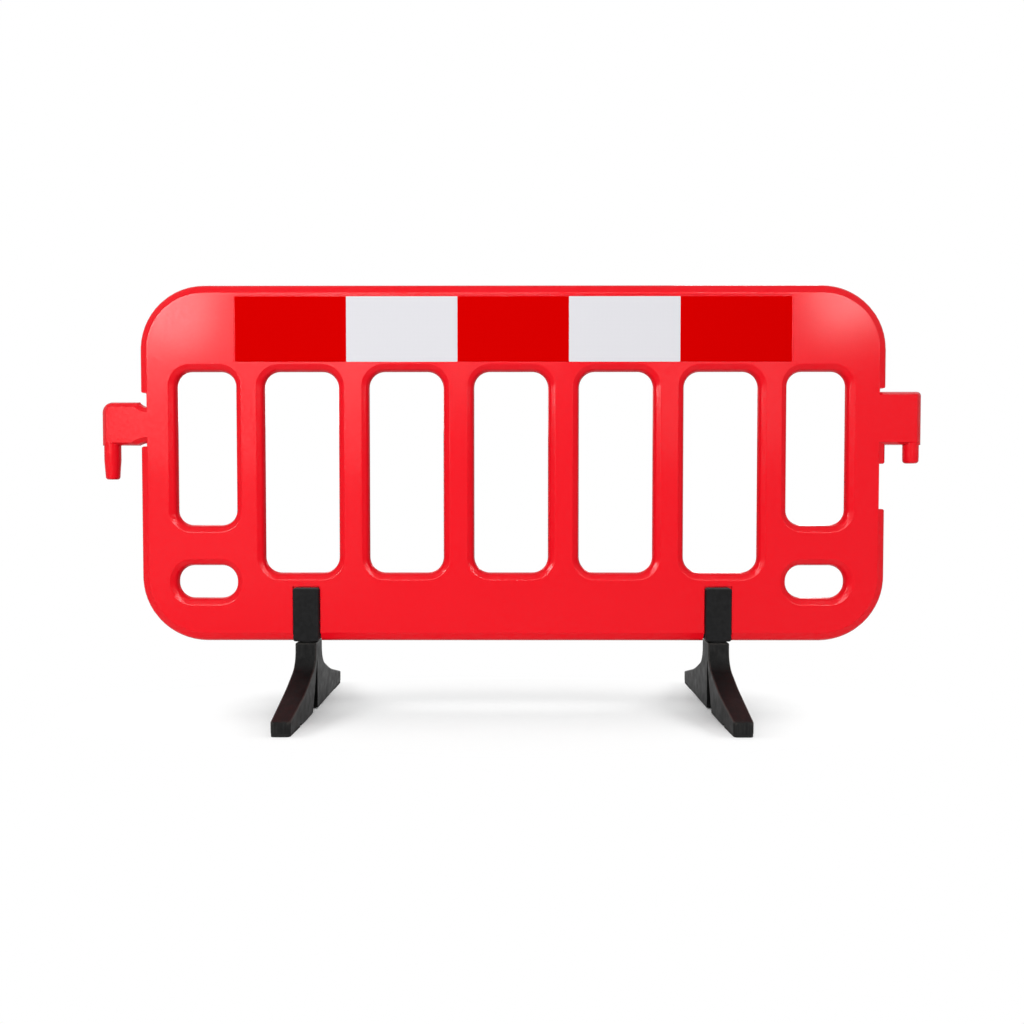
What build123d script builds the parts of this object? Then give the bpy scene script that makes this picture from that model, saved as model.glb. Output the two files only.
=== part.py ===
from build123d import *

import math
import os

# A plastic safety barrier for road works, in millimetres.
# The origin is on the floor under the middle of the panel. +X runs along the barrier,
# the reflectors face -Y and +Z is up.

# Body of the panel, measured at its parting ridge, half way through its thickness.
# It reaches a little further on the right of the middle window than on the left.
OVERALL_LENGTH = 1998.0
BODY_LENGTH = 1814.0
BODY_X = 4.0
BODY_HEIGHT = 867.0
GROUND_CLEARANCE = 164.0
BODY_CORNER_RADIUS = 158.0
PANEL_THICKNESS = 40.0
WALL = 4.0

# Edge section: a steep drafted side by the ridge, then a wide bevel up to the flat face
DRAFT_DEPTH = 12.0
DRAFT_INSET = 3.0
OUTER_BEVEL_INSET = 19.0
WINDOW_BEVEL_INSET = 14.0
SHOULDER_RADIUS = 14.0
FACE_EDGE_RADIUS = 5.0

# Windows and hand slots
WINDOW_COUNT = 5
WINDOW_PITCH = 255.4
WINDOW_WIDTH = 179.6
WINDOW_TOP = 821.0
WINDOW_BOTTOM = 331.5
WINDOW_RADIUS = 38.0
END_WINDOW_X = 742.5
END_WINDOW_WIDTH = 143.0
END_WINDOW_BOTTOM = 448.0
END_WINDOW_RADIUS = 36.0
HAND_SLOT_HEIGHT = 79.0
HAND_SLOT_Z = 309.5
HAND_SLOT_RADIUS = 37.5

# Coupling arms: round at the top of the tip, square below, with their own bevels
ARM_ROOT_INSIDE = 40.0
ARM_TIP_DRAFT = 6.0
ARM_TIP_BEVEL = 12.0
ARM_BOTTOM_DRAFT = 1.5
ARM_BOTTOM_BEVEL = 5.0
LEFT_ARM_BOTTOM = 642.0
LEFT_ARM_TOP = 748.0
LEFT_ARM_RADIUS = 26.0
LEFT_ARM_BEVEL = 10.0
RIGHT_ARM_BOTTOM = 643.0
RIGHT_ARM_TOP = 773.0
RIGHT_ARM_RADIUS = 10.5
RIGHT_ARM_BEVEL = 6.0
WAIST_REACH = 24.0
WAIST_TOP_DROP = 12.0
WAIST_BOTTOM_RISE = 6.5

# Coupling pins under the arms, each hung from a slightly wider collar inside its arm
PIN_X = 975.0
PIN_COLLAR_STEP = 0.5
PIN_COLLAR_HEIGHT = 14.0
LEFT_PIN_RADIUS = 19.3
LEFT_PIN_TIP_RADIUS = 16.0
LEFT_PIN_STRAIGHT = 36.0
LEFT_PIN_LENGTH = 83.0
LEFT_PIN_ROUND = 7.0
RIGHT_PIN_RADIUS = 18.6
RIGHT_PIN_TIP_RADIUS = 18.0
RIGHT_PIN_STRAIGHT = 30.0
RIGHT_PIN_LENGTH = 45.0
RIGHT_PIN_ROUND = 8.0

# Notches where the ridge of the body is cut away at the arms and at the right edge
NOTCH_DEPTH = 20.0
NOTCH_MOUTH_RADIUS = 12.0
LEFT_NOTCH = (639.5, 769.0)
RIGHT_ARM_NOTCH = (666.0, 779.5)
RIGHT_EDGE_NOTCH = (487.5, 597.0)

# Reflector tiles from left to right in their recess, which is repeated bare on the rear face
TILE_NAMES = (
    "reflector_red_left",
    "reflector_white_left",
    "reflector_red_centre",
    "reflector_white_right",
    "reflector_red_right",
)
TILE_WIDTH = 269.0
TILE_HEIGHT = 157.0
TILE_THICKNESS = 1.0
TILE_GAP = 0.4
TILE_STRIP_X = 5.0
TILE_STRIP_Z = 922.0
TILE_CORNER_RADIUS = 2.0
TILE_RECESS_DEPTH = 1.5
TILE_RECESS_MARGIN = 3.0
TILE_RECESS_RADIUS = 5.0

# Foot clips: saddles over the bottom rail, spaced about the middle of the body
FOOT_SPACING = 1001.0
FEET_MID_X = 2.5
CLIP_WIDTH = 62.0
CLIP_DEPTH = 62.0
CLIP_BOTTOM = 166.0
CLIP_TOP = 296.0
CLIP_WEB = 16.0
CLIP_CORNER_RADIUS = 6.0
CLIP_EDGE_RADIUS = 3.0
CLIP_FIT = 0.2
SEAT_DEPTH = 8.0
SEAT_GAP = 3.0
WEB_GAP = 1.0
HEAD_SINK = 0.5

# Cross bolts of the clips, M8
CROSS_BOLT_HEIGHTS = (218.0, 264.0)
CROSS_BOLT_RADIUS = 4.0
CROSS_HOLE_RADIUS = 4.3
CROSS_HEAD_RADIUS = 6.5
CROSS_HEAD_HEIGHT = 8.0
CROSS_SOCKET_FLATS = 6.0
CROSS_SOCKET_DEPTH = 4.0
CROSS_NUT_FLATS = 13.0
CROSS_NUT_HEIGHT = 6.5
CROSS_BOLT_END_Y = -26.0
THREAD_GAP = 0.05
POCKET_GAP = 0.2

# Swivel of each foot, M12
SWIVEL_BOLT_RADIUS = 6.0
SWIVEL_BORE_RADIUS = 6.05
SWIVEL_HEAD_FLATS = 18.0
SWIVEL_HEAD_HEIGHT = 7.0
SWIVEL_BOLT_END_Z = 56.0
SWIVEL_BOLT_CHAMFER = 1.0
THRUST_WASHER_RADIUS = 22.0
THRUST_WASHER_HEIGHT = 3.0
SWIVEL_GAP = 0.3
BUSH_RADIUS = 9.0
BUSH_SEAT_GAP = 0.02
NUT_WELL_RADIUS = 14.5
NUT_WELL_TOP = 78.0
FLAT_WASHER_RADIUS = 12.0
FLAT_WASHER_HEIGHT = 2.5
LOCK_NUT_FLATS = 19.0
LOCK_NUT_HEIGHT = 13.0
LOCK_NUT_COLLAR_RADIUS = 8.8
LOCK_NUT_COLLAR_HEIGHT = 3.5

# Feet
FOOT_LENGTH = 524.0
FOOT_WIDTH = 51.0
FRONT_TOE_WIDTH = 44.0
REAR_TOE_WIDTH = 50.0
TOE_TAPER_START = 150.0
TOE_HEIGHT = 32.0
TOE_TOP_RADIUS = 6.0
TOE_CORNER_RADIUS = 8.0
NECK_DEPTH = 64.0
SLOPE_ROOT_Z = 110.0
SLOPE_ROOT_RADIUS = 52.0
SLOPE_KNEE_Y = 130.0
SLOPE_KNEE_Z = 67.0
SLOPE_KNEE_RADIUS = 400.0
SOLE_CLEARANCE = 2.5
POCKET_DEPTH = 14.0
POCKET_BACK_Y = -19.0
POCKET_FRONT_Y = -68.0
POCKET_TOP_Y = -23.0
POCKET_TOP_Z = 118.0

# Sole pads, held by plugs moulded on them
PAD_LENGTH = 86.0
PAD_HEIGHT = 7.4
PAD_INSET = 0.6
PAD_SEAT_GAP = 0.1
PLUG_RADIUS = 5.0
PLUG_HOLE_RADIUS = 5.1
PLUG_HEIGHT = 7.0
PLUG_SPACING = 44.0

# How far a cut starts outside the face it opens, and how near an edge counts as found
CUT_START = 1.0
NEAR = 0.05

# Worked out from the above
HALF_THICKNESS = PANEL_THICKNESS / 2
BEVEL_DEPTH = HALF_THICKNESS - DRAFT_DEPTH
BODY_MID_Z = GROUND_CLEARANCE + BODY_HEIGHT / 2
ARM_TIP_X = OVERALL_LENGTH / 2
LEFT_FOOT_X = FEET_MID_X - FOOT_SPACING / 2
RIGHT_FOOT_X = FEET_MID_X + FOOT_SPACING / 2
SEAT_WIDTH = CLIP_WIDTH + 2 * SEAT_GAP
SEAT_TOP = CLIP_TOP + SEAT_GAP
SEAT_FLOOR = HALF_THICKNESS - SEAT_DEPTH
WEB_TOP = CLIP_BOTTOM + CLIP_WEB
RAIL_NOTCH_TOP = WEB_TOP + WEB_GAP
NECK_TOP = CLIP_BOTTOM - THRUST_WASHER_HEIGHT - SWIVEL_GAP
PAD_SEAT_Z = PAD_HEIGHT + PAD_SEAT_GAP

os.makedirs("parts", exist_ok=True)


def finish(builder, name):
    """Label a finished piece and write it under its own name."""
    builder.part.label = name
    export_step(builder.part, f"parts/{name}.step")


def window_sizes():
    """Every opening of the body as centre x, centre z, width, height and corner radius."""
    tall_z = (WINDOW_TOP + WINDOW_BOTTOM) / 2
    tall_height = WINDOW_TOP - WINDOW_BOTTOM
    for index in range(WINDOW_COUNT):
        x = (index - (WINDOW_COUNT - 1) / 2) * WINDOW_PITCH
        yield x, tall_z, WINDOW_WIDTH, tall_height, WINDOW_RADIUS
    end_z = (WINDOW_TOP + END_WINDOW_BOTTOM) / 2
    end_height = WINDOW_TOP - END_WINDOW_BOTTOM
    for x in (-END_WINDOW_X, END_WINDOW_X):
        yield x, end_z, END_WINDOW_WIDTH, end_height, END_WINDOW_RADIUS
        yield x, HAND_SLOT_Z, END_WINDOW_WIDTH, HAND_SLOT_HEIGHT, HAND_SLOT_RADIUS


def body_outline(inset):
    """Draw the outline of the body, drawn in from its ridge by inset."""
    with Locations((BODY_X, BODY_MID_Z)):
        RectangleRounded(BODY_LENGTH - 2 * inset, BODY_HEIGHT - 2 * inset, BODY_CORNER_RADIUS - inset)


def window_outlines(growth):
    """Draw every opening of the body, grown from its ridge by growth."""
    for x, z, width, height, radius in window_sizes():
        with Locations((x, z)):
            RectangleRounded(width + 2 * growth, height + 2 * growth, radius + growth)


def body_end(side):
    """Place of the ridge at the left end, -1, or the right end, 1, of the body."""
    return BODY_X + side * BODY_LENGTH / 2


def notch_floor(side):
    """Place of the floor of the notches at one end of the body."""
    return body_end(side) - side * NOTCH_DEPTH


def foot_places(z):
    """Points over the two feet at one height."""
    return (LEFT_FOOT_X, z), (RIGHT_FOOT_X, z)


def taper_angle(inset, depth):
    """Taper in degrees of a side that moves in by inset over depth."""
    return math.degrees(math.atan2(inset, depth))


def hollow_shoulder(bevel_inset):
    """Depth and inset of the line where the inner sides of the draft and of a bevel meet."""
    draft_slope = DRAFT_INSET / DRAFT_DEPTH
    bevel_slope = bevel_inset / BEVEL_DEPTH
    draft_start = WALL * math.hypot(1, draft_slope)
    bevel_start = DRAFT_INSET + WALL * math.hypot(1, bevel_slope) - bevel_slope * DRAFT_DEPTH
    depth = (draft_start - bevel_start) / (bevel_slope - draft_slope)
    return depth, draft_start + draft_slope * depth


def edges_at_depth(builder, depth):
    """Edges that lie in the plane at a depth in front of the parting plane."""
    return builder.edges().filter_by_position(Axis.Y, -depth - NEAR, -depth + NEAR)


def cut_ridge_notch(side, z_low, z_high):
    """Cut the ridge away between two heights on one end, with the corners left round."""
    radius = NOTCH_MOUTH_RADIUS
    floor_x = notch_floor(side)
    ridge_x = body_end(side)
    round_x = ridge_x - side * radius
    outside_x = ridge_x + side * radius
    with BuildSketch(Plane.XZ) as notch:
        with BuildLine():
            Line((floor_x, z_high), (floor_x, z_low))
            Line((floor_x, z_low), (round_x, z_low))
            TangentArc((round_x, z_low), (ridge_x, z_low - radius), tangent=(side, 0))
            Polyline(
                (ridge_x, z_low - radius),
                (outside_x, z_low - radius),
                (outside_x, z_high + radius),
                (ridge_x, z_high + radius),
            )
            TangentArc((ridge_x, z_high + radius), (round_x, z_high), tangent=(0, -1))
            Line((round_x, z_high), (floor_x, z_high))
        make_face()
    extrude(notch.sketch, amount=HALF_THICKNESS, mode=Mode.SUBTRACT)


def arm_section(side, depth, tip_inset, low_z, high_z, radius):
    """Outline of an arm at a depth, from its root inside the body to its tip."""
    root_x = notch_floor(side) - side * ARM_ROOT_INSIDE
    tip_x = side * (ARM_TIP_X - tip_inset)
    with BuildSketch(Plane.XZ.offset(depth)) as section:
        with BuildLine():
            Polyline((root_x, low_z), (tip_x, low_z), (tip_x, high_z), (root_x, high_z), close=True)
        make_face()
        tip_corners = section.vertices().group_by(Axis.Y)[-1].sort_by(Axis.X)
        fillet(tip_corners[-1] if side > 0 else tip_corners[0], radius)
    return section.sketch


def drafted_arm(side, low_z, high_z, radius, bevel_inset):
    """Front half of an arm, drafted and then bevelled up to the flat face."""
    face_inset = DRAFT_INSET + bevel_inset
    shoulder_low = low_z + ARM_BOTTOM_DRAFT
    face_low = shoulder_low + ARM_BOTTOM_BEVEL
    face_tip = ARM_TIP_DRAFT + ARM_TIP_BEVEL
    shoulder_high = high_z - DRAFT_INSET
    face_high = high_z - face_inset
    ridge = arm_section(side, 0, 0, low_z, high_z, radius)
    shoulder = arm_section(
        side, DRAFT_DEPTH, ARM_TIP_DRAFT, shoulder_low, shoulder_high, radius - DRAFT_INSET
    )
    face = arm_section(side, HALF_THICKNESS, face_tip, face_low, face_high, radius - face_inset)
    loft([ridge, shoulder], ruled=True)
    loft([shoulder, face], ruled=True)


def cut_waist(x, z, radius):
    """Scoop an arm with a circle that grows towards the face as the arm's bevels do."""
    with BuildSketch(Plane.XZ) as ridge:
        with Locations((x, z)):
            Circle(radius)
    draft = taper_angle(DRAFT_INSET, DRAFT_DEPTH)
    extrude(ridge.sketch, amount=DRAFT_DEPTH, taper=-draft, mode=Mode.SUBTRACT)
    with BuildSketch(Plane.XZ.offset(DRAFT_DEPTH)) as shoulder:
        with Locations((x, z)):
            Circle(radius + DRAFT_INSET)
    bevel = taper_angle(LEFT_ARM_BEVEL, BEVEL_DEPTH)
    extrude(shoulder.sketch, amount=BEVEL_DEPTH, taper=-bevel, mode=Mode.SUBTRACT)


def coupling_pin(x, arm_bottom, root_radius, tip_radius, straight, length, tip_round):
    """Revolve a pin: a collar in the arm, a straight stretch, then a taper to a rounded tip."""
    collar_radius = root_radius + PIN_COLLAR_STEP
    with BuildSketch(Plane.XZ) as section:
        with BuildLine():
            Polyline(
                (x, arm_bottom + PIN_COLLAR_HEIGHT),
                (x + collar_radius, arm_bottom + PIN_COLLAR_HEIGHT),
                (x + collar_radius, arm_bottom),
                (x + root_radius, arm_bottom),
                (x + root_radius, arm_bottom - straight),
                (x + tip_radius, arm_bottom - length),
                (x, arm_bottom - length),
                close=True,
            )
        make_face()
        fillet(section.vertices().group_by(Axis.Y)[0].sort_by(Axis.X)[-1], tip_round)
    revolve(section.sketch, axis=Axis((x, 0, 0), (0, 0, 1)))


def hexagon_across(flats):
    """Draw a hexagon by the distance across its flats."""
    RegularPolygon(radius=flats / 2, side_count=6, major_radius=False)


# Taper of the sides next to the ridge, of the outer bevel and of the bevel of the windows
draft_taper = taper_angle(DRAFT_INSET, DRAFT_DEPTH)
outer_taper = taper_angle(OUTER_BEVEL_INSET, BEVEL_DEPTH)
window_taper = taper_angle(WINDOW_BEVEL_INSET, BEVEL_DEPTH)

# Hollow inside of the panel, front half: every wall of the body keeps its thickness
ridge_wall = WALL * math.hypot(1, DRAFT_INSET / DRAFT_DEPTH)
hollow_depth = HALF_THICKNESS - WALL
outer_depth, outer_inset = hollow_shoulder(OUTER_BEVEL_INSET)
window_depth, window_inset = hollow_shoulder(WINDOW_BEVEL_INSET)

with BuildPart() as hollow:
    with BuildSketch(Plane.XZ):
        body_outline(ridge_wall)
    extrude(amount=outer_depth, taper=draft_taper)
    with BuildSketch(Plane.XZ.offset(outer_depth)):
        body_outline(outer_inset)
    extrude(amount=hollow_depth - outer_depth, taper=outer_taper)
    with BuildSketch(Plane.XZ):
        window_outlines(ridge_wall)
    extrude(amount=window_depth, taper=-draft_taper, mode=Mode.SUBTRACT)
    with BuildSketch(Plane.XZ.offset(window_depth)):
        window_outlines(window_inset)
    extrude(amount=hollow_depth - window_depth, taper=-window_taper, mode=Mode.SUBTRACT)
    # Keep walls at the notches in the two ends
    with BuildSketch(Plane.XZ):
        for side, low, high in (
            (-1, *LEFT_NOTCH),
            (1, *RIGHT_ARM_NOTCH),
            (1, *RIGHT_EDGE_NOTCH),
        ):
            with Locations((body_end(side), (low + high) / 2)):
                Rectangle(2 * (NOTCH_DEPTH + WALL), high - low + 2 * WALL)
    extrude(amount=HALF_THICKNESS, mode=Mode.SUBTRACT)
    # Keep walls behind the clip seats, over the rail notches and round the cross bolts
    seat_wall_top = SEAT_TOP + WALL
    with BuildSketch(Plane.XZ.offset(SEAT_FLOOR - WALL)):
        with Locations(*foot_places(seat_wall_top / 2)):
            Rectangle(SEAT_WIDTH + 2 * WALL, seat_wall_top)
    extrude(amount=HALF_THICKNESS, mode=Mode.SUBTRACT)
    notch_wall_top = RAIL_NOTCH_TOP + WALL
    with BuildSketch(Plane.XZ):
        with Locations(*foot_places(notch_wall_top / 2)):
            Rectangle(SEAT_WIDTH + 2 * WALL, notch_wall_top)
        for z in CROSS_BOLT_HEIGHTS:
            with Locations(*foot_places(z)):
                Circle(CROSS_HOLE_RADIUS + WALL)
    extrude(amount=HALF_THICKNESS, mode=Mode.SUBTRACT)

# Left arm, front half, with a waist where it meets the body
waist_x = notch_floor(-1)
waist_top_radius = (WAIST_REACH**2 + WAIST_TOP_DROP**2) / (2 * WAIST_TOP_DROP)
waist_bottom_radius = (WAIST_REACH**2 + WAIST_BOTTOM_RISE**2) / (2 * WAIST_BOTTOM_RISE)
with BuildPart() as left_arm:
    drafted_arm(-1, LEFT_ARM_BOTTOM, LEFT_ARM_TOP, LEFT_ARM_RADIUS, LEFT_ARM_BEVEL)
    cut_waist(waist_x, LEFT_ARM_TOP - WAIST_TOP_DROP + waist_top_radius, waist_top_radius)
    cut_waist(waist_x, LEFT_ARM_BOTTOM + WAIST_BOTTOM_RISE - waist_bottom_radius, waist_bottom_radius)

# Right arm, front half
with BuildPart() as right_arm:
    drafted_arm(1, RIGHT_ARM_BOTTOM, RIGHT_ARM_TOP, RIGHT_ARM_RADIUS, RIGHT_ARM_BEVEL)

# Panel: the front half of the moulding, mirrored to the rear, then the pins on the arms
with BuildPart() as panel:
    with BuildSketch(Plane.XZ):
        body_outline(0)
    extrude(amount=DRAFT_DEPTH, taper=draft_taper)
    with BuildSketch(Plane.XZ.offset(DRAFT_DEPTH)):
        body_outline(DRAFT_INSET)
    extrude(amount=BEVEL_DEPTH, taper=outer_taper)
    with BuildSketch(Plane.XZ):
        window_outlines(0)
    extrude(amount=DRAFT_DEPTH, taper=-draft_taper, mode=Mode.SUBTRACT)
    with BuildSketch(Plane.XZ.offset(DRAFT_DEPTH)):
        window_outlines(DRAFT_INSET)
    extrude(amount=BEVEL_DEPTH, taper=-window_taper, mode=Mode.SUBTRACT)
    fillet(edges_at_depth(panel, DRAFT_DEPTH), SHOULDER_RADIUS)
    fillet(edges_at_depth(panel, HALF_THICKNESS), FACE_EDGE_RADIUS)
    cut_ridge_notch(-1, *LEFT_NOTCH)
    cut_ridge_notch(1, *RIGHT_ARM_NOTCH)
    cut_ridge_notch(1, *RIGHT_EDGE_NOTCH)
    add(left_arm.part)
    add(right_arm.part)
    # Shallow recess for the reflector tiles
    with BuildSketch(Plane.XZ.offset(HALF_THICKNESS - TILE_RECESS_DEPTH)):
        with Locations((TILE_STRIP_X, TILE_STRIP_Z)):
            recess_length = len(TILE_NAMES) * TILE_WIDTH + 2 * TILE_RECESS_MARGIN
            RectangleRounded(recess_length, TILE_HEIGHT + 2 * TILE_RECESS_MARGIN, TILE_RECESS_RADIUS)
    extrude(amount=HALF_THICKNESS, mode=Mode.SUBTRACT)
    # Seats of the clips, open below, and the rail cut short over the web of each clip
    with BuildSketch(Plane.XZ.offset(SEAT_FLOOR)):
        with Locations(*foot_places(SEAT_TOP)):
            RectangleRounded(SEAT_WIDTH, 2 * (SEAT_TOP - GROUND_CLEARANCE), CLIP_CORNER_RADIUS)
        with Locations((0, SEAT_TOP)):
            Rectangle(OVERALL_LENGTH, BODY_HEIGHT, align=(Align.CENTER, Align.MIN), mode=Mode.SUBTRACT)
    extrude(amount=HALF_THICKNESS, mode=Mode.SUBTRACT)
    with BuildSketch(Plane.XZ):
        with Locations(*foot_places(RAIL_NOTCH_TOP)):
            Rectangle(SEAT_WIDTH, RAIL_NOTCH_TOP, align=(Align.CENTER, Align.MAX))
        for z in CROSS_BOLT_HEIGHTS:
            with Locations(*foot_places(z)):
                Circle(CROSS_HOLE_RADIUS)
    extrude(amount=HALF_THICKNESS, mode=Mode.SUBTRACT)
    add(hollow.part, mode=Mode.SUBTRACT)
    mirror(about=Plane.XZ)
    coupling_pin(
        -PIN_X,
        LEFT_ARM_BOTTOM,
        LEFT_PIN_RADIUS,
        LEFT_PIN_TIP_RADIUS,
        LEFT_PIN_STRAIGHT,
        LEFT_PIN_LENGTH,
        LEFT_PIN_ROUND,
    )
    coupling_pin(
        PIN_X,
        RIGHT_ARM_BOTTOM,
        RIGHT_PIN_RADIUS,
        RIGHT_PIN_TIP_RADIUS,
        RIGHT_PIN_STRAIGHT,
        RIGHT_PIN_LENGTH,
        RIGHT_PIN_ROUND,
    )
finish(panel, "panel")

# Reflector tiles
for index, name in enumerate(TILE_NAMES):
    tile_x = TILE_STRIP_X + (index - (len(TILE_NAMES) - 1) / 2) * TILE_WIDTH
    with BuildPart() as tile:
        with BuildSketch(Plane.XZ.offset(HALF_THICKNESS - TILE_RECESS_DEPTH)):
            with Locations((tile_x, TILE_STRIP_Z)):
                RectangleRounded(TILE_WIDTH - TILE_GAP, TILE_HEIGHT, TILE_CORNER_RADIUS)
        extrude(amount=TILE_THICKNESS)
    finish(tile, name)

# Each foot with its clip and swivel, on the left and then on the right
for side_name, foot_x in (("left", LEFT_FOOT_X), ("right", RIGHT_FOOT_X)):
    half_clip = CLIP_DEPTH / 2
    cheek_inner = SEAT_FLOOR + CLIP_FIT
    head_seat_z = WEB_TOP - SWIVEL_HEAD_HEIGHT - HEAD_SINK
    head_seat_y = half_clip - HEAD_SINK - CROSS_HEAD_HEIGHT
    nut_end_y = -cheek_inner - CROSS_NUT_HEIGHT
    cross_points = [(foot_x, z) for z in CROSS_BOLT_HEIGHTS]

    # Clip: a saddle whose cheeks stand in the seats and whose web passes under the rail
    with BuildPart() as clip:
        with BuildSketch(Plane.XZ.offset(-half_clip)):
            with Locations((foot_x, (CLIP_BOTTOM + CLIP_TOP) / 2)):
                RectangleRounded(CLIP_WIDTH, CLIP_TOP - CLIP_BOTTOM, CLIP_CORNER_RADIUS)
        extrude(amount=CLIP_DEPTH)
        fillet(clip.faces().filter_by(Axis.Y).edges(), CLIP_EDGE_RADIUS)
        with BuildSketch(Plane.XZ.offset(-cheek_inner)):
            with Locations((foot_x, WEB_TOP)):
                Rectangle(2 * CLIP_WIDTH, CLIP_TOP, align=(Align.CENTER, Align.MIN))
        extrude(amount=2 * cheek_inner, mode=Mode.SUBTRACT)
        # Hole and captive pocket of the swivel bolt
        with BuildSketch(Plane.XY.offset(head_seat_z)):
            with Locations((foot_x, 0)):
                hexagon_across(SWIVEL_HEAD_FLATS + 2 * POCKET_GAP)
        extrude(amount=CLIP_WEB, mode=Mode.SUBTRACT)
        with BuildSketch(Plane.XY.offset(CLIP_BOTTOM - CUT_START)):
            with Locations((foot_x, 0)):
                Circle(SWIVEL_BOLT_RADIUS + POCKET_GAP)
        extrude(amount=CLIP_WEB, mode=Mode.SUBTRACT)
        # Cross bolt holes: heads sunk in the rear cheek, nuts held in the front cheek
        with BuildSketch(Plane.XZ.offset(-CROSS_BOLT_END_Y + CUT_START)):
            with Locations(*cross_points):
                Circle(CROSS_HOLE_RADIUS)
        extrude(amount=-CLIP_DEPTH, mode=Mode.SUBTRACT)
        with BuildSketch(Plane.XZ.offset(-head_seat_y)):
            with Locations(*cross_points):
                Circle(CROSS_HEAD_RADIUS + POCKET_GAP)
        extrude(amount=-CLIP_DEPTH, mode=Mode.SUBTRACT)
        with BuildSketch(Plane.XZ.offset(cheek_inner)):
            with Locations(*cross_points):
                hexagon_across(CROSS_NUT_FLATS + 2 * POCKET_GAP)
        extrude(amount=CROSS_NUT_HEIGHT + POCKET_GAP, mode=Mode.SUBTRACT)
    finish(clip, f"{side_name}_foot_clip")

    # Cross bolts with socket heads
    with BuildPart() as cross_bolts:
        with BuildSketch(Plane.XZ.offset(-head_seat_y)):
            with Locations(*cross_points):
                Circle(CROSS_HEAD_RADIUS)
        extrude(amount=-CROSS_HEAD_HEIGHT)
        with BuildSketch(Plane.XZ.offset(-head_seat_y)):
            with Locations(*cross_points):
                Circle(CROSS_BOLT_RADIUS)
        extrude(amount=head_seat_y - CROSS_BOLT_END_Y)
        with BuildSketch(Plane.XZ.offset(-head_seat_y - CROSS_HEAD_HEIGHT)):
            with Locations(*cross_points):
                hexagon_across(CROSS_SOCKET_FLATS)
        extrude(amount=CROSS_SOCKET_DEPTH, mode=Mode.SUBTRACT)
    finish(cross_bolts, f"{side_name}_clip_bolts")

    # Captive nuts of the cross bolts
    with BuildPart() as cross_nuts:
        with BuildSketch(Plane.XZ.offset(-nut_end_y)):
            with Locations(*cross_points):
                hexagon_across(CROSS_NUT_FLATS)
            with Locations(*cross_points):
                Circle(CROSS_BOLT_RADIUS + THREAD_GAP, mode=Mode.SUBTRACT)
        extrude(amount=-CROSS_NUT_HEIGHT)
    finish(cross_nuts, f"{side_name}_clip_nuts")

    # Swivel bolt, its head held in the web of the clip
    with BuildPart() as swivel_bolt:
        with BuildSketch(Plane.XY.offset(head_seat_z)):
            with Locations((foot_x, 0)):
                hexagon_across(SWIVEL_HEAD_FLATS)
        extrude(amount=SWIVEL_HEAD_HEIGHT)
        with BuildSketch(Plane.XY.offset(SWIVEL_BOLT_END_Z)):
            with Locations((foot_x, 0)):
                Circle(SWIVEL_BOLT_RADIUS)
        extrude(amount=head_seat_z - SWIVEL_BOLT_END_Z)
        bolt_end = swivel_bolt.edges().filter_by(GeomType.CIRCLE).sort_by(Axis.Z)[0]
        chamfer(bolt_end, SWIVEL_BOLT_CHAMFER)
    finish(swivel_bolt, f"{side_name}_swivel_bolt")

    # Thrust washer between the clip and the neck of the foot
    with BuildPart() as thrust_washer:
        with BuildSketch(Plane.XY.offset(CLIP_BOTTOM - THRUST_WASHER_HEIGHT)):
            with Locations((foot_x, 0)):
                Circle(THRUST_WASHER_RADIUS)
                Circle(SWIVEL_BOLT_RADIUS + POCKET_GAP, mode=Mode.SUBTRACT)
        extrude(amount=THRUST_WASHER_HEIGHT)
    finish(thrust_washer, f"{side_name}_thrust_washer")

    # Flat washer and lock nut in the well under the foot
    washer_z = NUT_WELL_TOP - SWIVEL_GAP - FLAT_WASHER_HEIGHT
    with BuildPart() as flat_washer:
        with BuildSketch(Plane.XY.offset(washer_z)):
            with Locations((foot_x, 0)):
                Circle(FLAT_WASHER_RADIUS)
                Circle(SWIVEL_BOLT_RADIUS + POCKET_GAP, mode=Mode.SUBTRACT)
        extrude(amount=FLAT_WASHER_HEIGHT)
    finish(flat_washer, f"{side_name}_flat_washer")
    with BuildPart() as lock_nut:
        with BuildSketch(Plane.XY.offset(washer_z)):
            with Locations((foot_x, 0)):
                hexagon_across(LOCK_NUT_FLATS)
        extrude(amount=-(LOCK_NUT_HEIGHT - LOCK_NUT_COLLAR_HEIGHT))
        with BuildSketch(Plane.XY.offset(washer_z)):
            with Locations((foot_x, 0)):
                Circle(LOCK_NUT_COLLAR_RADIUS)
        extrude(amount=-LOCK_NUT_HEIGHT)
        with BuildSketch(Plane.XY.offset(washer_z)):
            with Locations((foot_x, 0)):
                Circle(SWIVEL_BOLT_RADIUS + THREAD_GAP)
        extrude(amount=-LOCK_NUT_HEIGHT, mode=Mode.SUBTRACT)
    finish(lock_nut, f"{side_name}_lock_nut")

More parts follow.
